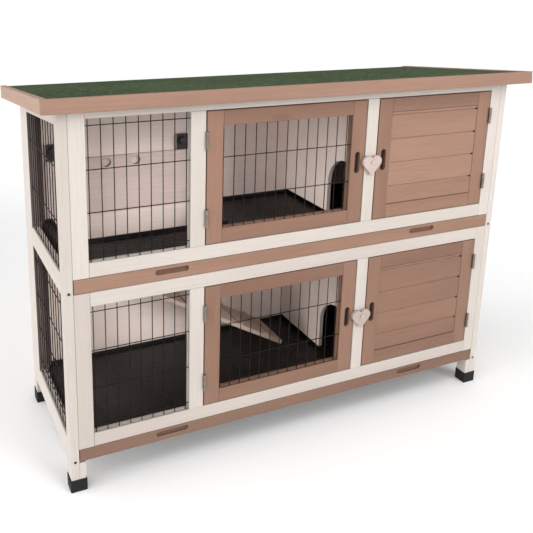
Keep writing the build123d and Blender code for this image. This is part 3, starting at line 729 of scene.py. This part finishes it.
def arc(centre, radius, start, end):
    """Points along an arc."""
    angles = [start + (end - start) * i / HEART_STEPS for i in range(HEART_STEPS + 1)]
    return [(centre[0] + radius * math.cos(a), centre[1] + radius * math.sin(a)) for a in angles]


def heart_outline():
    """Points round a heart, its rounded tip at the origin and its cleft at the top."""
    lobe = HEART_W * HEART_LOBE
    cx, cy = HEART_W / 2 - lobe, HEART_H - lobe
    flank = math.atan2(cy, cx) - math.asin(lobe / math.hypot(cx, cy))
    cleft = math.acos(-cx / lobe)
    tip_centre = (0.0, HEART_TIP / math.cos(flank))
    tip = arc(tip_centre, HEART_TIP, -math.pi / 2, flank - math.pi / 2)
    right = tip + arc((cx, cy), lobe, flank - math.pi / 2, cleft)
    return right + [(-x, y) for x, y in reversed(right[1:-1])]


def heart(storey, kind):
    """A storey's wooden heart, which turns on its screw and stands in for the smaller CAD one."""
    low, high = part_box(f"{storey}_heart_latch")
    joint = next(j for j in frame["joints"] if j["name"] == f"{storey}_latch_turn")
    screw_z = joint["pos_m"][2]
    work = bmesh.new()
    face = work.faces.new([work.verts.new((x, 0, z)) for x, z in heart_outline()])
    grown = bmesh.ops.extrude_face_region(work, geom=[face])
    front = [v for v in grown["geom"] if isinstance(v, bmesh.types.BMVert)]
    bmesh.ops.translate(work, verts=front, vec=(0, low.y - high.y, 0))
    bmesh.ops.recalc_face_normals(work, faces=work.faces)
    obj = piece(f"{storey}_heart", work, wood(kind, "Z", variant=5))
    obj.location = ((low.x + high.x) / 2, high.y, screw_z - HEART_BELOW)
    edge = obj.modifiers.new("edge", "BEVEL")
    edge.width = HEART_EDGE
    edge.segments = EDGE_STEPS
    edge.limit_method = "ANGLE"
    edge.angle_limit = math.radians(HEART_CORNER)
    for poly in obj.data.polygons:
        poly.use_smooth = True
    obj.data.set_sharp_from_angle(angle=math.radians(HEART_CREASE))
    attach(obj, f"{storey}_latch")
    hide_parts(f"{storey}_heart_latch")


heart("upper", "heart")
# the lower heart is darker: painted shade
heart("lower", "heart_low")

# ------------------------------------------------------------------ tray ribs

RIB_PITCH = 0.012
RIB_FOOT = 0.0017              # half a rib's width at the floor
RIB_TOP = 0.0009               # and at its top
RIB_H = 0.0012
TRAY_WALL = 0.003
TRAY_SINK = 0.009              # from the rim down to the floor
RIB_END = TRAY_WALL + 0.002    # a rib ends this far in from the tray's edge
HATCH_RIGHT = -0.102           # the right side of the hatch in the upper tray
HATCH_FRONT = 0.015


def rib(work, start, end, y, z):
    """One low rib along X, as a closed bar that narrows upwards."""
    profile = ((-RIB_FOOT, 0), (RIB_FOOT, 0), (RIB_TOP, RIB_H), (-RIB_TOP, RIB_H))
    left, right = (
        [work.verts.new((x, y + dy, z + dz)) for dy, dz in profile] for x in (start, end)
    )
    work.faces.new(list(reversed(left)))
    work.faces.new(right)
    for i in range(4):
        j = (i + 1) % 4
        work.faces.new((left[i], left[j], right[j], right[i]))


def tray_ribs(storey):
    """Low moulded ribs along a tray's floor, which stop at the hatch in the upper one."""
    low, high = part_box(f"{storey}_tray_floor")
    work = bmesh.new()
    y = low.y + TRAY_WALL + RIB_PITCH
    while y < high.y - TRAY_WALL - RIB_PITCH / 2:
        by_hatch = storey == "upper" and y > HATCH_FRONT - RIB_PITCH
        start = (HATCH_RIGHT if by_hatch else low.x) + RIB_END
        rib(work, start, high.x - RIB_END, y, high.z - TRAY_SINK)
        y += RIB_PITCH
    bmesh.ops.recalc_face_normals(work, faces=work.faces)
    obj = piece(f"{storey}_tray_ribs", work, TRAY)
    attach(obj, f"{storey}_tray")


tray_ribs("upper")
tray_ribs("lower")

# ------------------------------------------------------------------ rear left corner

# painted shade: dark strips in each storey's rear left corner, standing in for its shadow
SHADE_STRIP_W = 0.020               # from the side panel's inner face
SHADE_STRIP_T = 0.003
SHADE_STRIP_EDGE = 0.001            # radius of its eased edges
SHADE_STRIP_GAP = 0.002             # above a tray and below the back's top
RUNNER_H = 0.016               # room for the strip that the upper tray slides on


def corner_shade_strip(storey, top):
    """A dark strip with eased edges in front of the rear left leg, inside one storey: painted shade
    for the rear left corner.
    """
    inside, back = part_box("back_panels")[0].x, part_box("tray_runners")[1].y
    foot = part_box(f"{storey}_tray_floor")[1].z + SHADE_STRIP_GAP
    low = (inside, back - SHADE_STRIP_T, foot)
    high = (inside + SHADE_STRIP_W, back, top)
    work = bmesh.new()
    bmesh.ops.create_cube(work, size=1.0)
    for corner in work.verts:
        corner.co = [low[i] if corner.co[i] < 0 else high[i] for i in range(3)]
    bmesh.ops.bevel(
        work, geom=work.edges[:], offset=SHADE_STRIP_EDGE, segments=EDGE_STEPS, profile=0.5, affect="EDGES",
    )
    obj = piece(f"{storey}_corner_batten", work, wood("batten", "Z", variant=6))
    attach(obj, "hutch")


paint_post_edge_shade()
corner_shade_strip("upper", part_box("back_panels")[1].z - SHADE_STRIP_GAP)
corner_shade_strip("lower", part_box("tray_runners")[1].z - RUNNER_H)

# ------------------------------------------------------------------ floor

FLOOR_HALF = 30.0
FLOOR_DROP = 0.0002            # below the feet

work = bmesh.new()
bmesh.ops.create_grid(work, x_segments=1, y_segments=1, size=FLOOR_HALF)
floor = piece("floor", work, paper())
floor.location = (0, 0, -FLOOR_DROP)

# ------------------------------------------------------------------ light

AMBIENT = 0.50                 # the world's strength as a light
BACKDROP = 1.0                 # and as it is seen
SUNS = {
    # azimuth from the front and elevation in degrees, level, width in degrees
    "key": (25, 15, 0.54, 25),
    "side": (-90, 8, 0.50, 30),
    "wide": (-70, 12, 0.80, 120),
    "top": (-30, 84, 0.06, 60),
}
BROW_PLACE = Vector((0.2, -0.75, 1.25))
BROW_TARGET = Vector((0.1, -0.2, 0.75))
BROW_SIZE = (1.4, 0.3)
BROW_WATTS = 3.3


def studio():
    """A white world, whose strength differs for what it lights and how it looks."""
    world = bpy.data.worlds.new("studio")
    scene.world = world
    world.use_nodes = True
    tree = world.node_tree
    sky = tree.nodes["Background"]
    sky.inputs["Color"].default_value = (1.0, 1.0, 1.0, 1.0)
    seen = put(tree, "ShaderNodeLightPath").outputs["Is Camera Ray"]
    tree.links.new(remap(tree, seen, 0.0, 1.0, AMBIENT, BACKDROP), sky.inputs["Strength"])


def toward(azimuth, elevation):
    """A direction from the object, in the terms of the other views."""
    a, e = math.radians(azimuth), math.radians(elevation)
    return Vector((math.sin(a) * math.cos(e), -math.cos(a) * math.cos(e), math.sin(e)))


def lamp_object(name, lamp, turned):
    """A lamp in the scene, turned a given way."""
    obj = bpy.data.objects.new(name, lamp)
    obj.rotation_mode = "QUATERNION"
    obj.rotation_quaternion = turned
    scene.collection.objects.link(obj)
    return obj


def softlight(name, azimuth, elevation, level, width):
    """A wide soft light from far off; level 1 makes white paper facing it white."""
    lamp = bpy.data.lights.new(name, "SUN")
    lamp.energy = level * math.pi
    lamp.angle = math.radians(width)
    lamp_object(name, lamp, toward(azimuth, elevation).to_track_quat("Z", "Y"))


def softbox(name, place, target, size, watts):
    """A soft rectangular lamp aimed at a point, itself unseen."""
    lamp = bpy.data.lights.new(name, "AREA")
    lamp.shape = "RECTANGLE"
    lamp.size, lamp.size_y = size
    lamp.energy = watts
    obj = lamp_object(name, lamp, (target - place).to_track_quat("-Z", "Y"))
    obj.location = place
    obj.visible_camera = False


studio()
for name, setting in SUNS.items():
    softlight(name, *setting)
softbox("brow", BROW_PLACE, BROW_TARGET, BROW_SIZE, BROW_WATTS)

# ------------------------------------------------------------------ camera

# Fitted to the hutch's corners and edges. The shift is in picture widths, the angles in degrees.
LENS_MM = 49.52555
SENSOR_MM = 36.0
SHIFT = (0.0736756, -0.1998124)
CAMERA_PLACE = Vector((-0.8252281, -1.5069586, 1.0754942))
CAMERA_DOWN = 14.89633
CAMERA_RIGHT = 25.39103
CAMERA_ROLL = 1.13142
NEAREST = 0.05                 # nothing nearer than this is drawn


def camera():
    """The main view's camera."""
    lens = bpy.data.cameras.new("camera")
    lens.sensor_width = SENSOR_MM
    lens.lens = LENS_MM
    lens.shift_x, lens.shift_y = SHIFT
    lens.clip_start = NEAREST
    obj = bpy.data.objects.new("camera", lens)
    scene.collection.objects.link(obj)
    level = Matrix(((1, 0, 0), (0, 0, -1), (0, 1, 0)))
    turn = (
        Matrix.Rotation(math.radians(CAMERA_ROLL), 3, "Z")
        @ level
        @ Matrix.Rotation(math.radians(CAMERA_DOWN), 3, "X")
        @ Matrix.Rotation(math.radians(CAMERA_RIGHT), 3, "Z")
    )
    axes = Matrix((turn[0], -turn[1], -turn[2])).transposed()
    obj.matrix_world = Matrix.Translation(CAMERA_PLACE) @ axes.to_4x4()
    return obj


scene.camera = camera()
scene.view_settings.view_transform = "Standard"
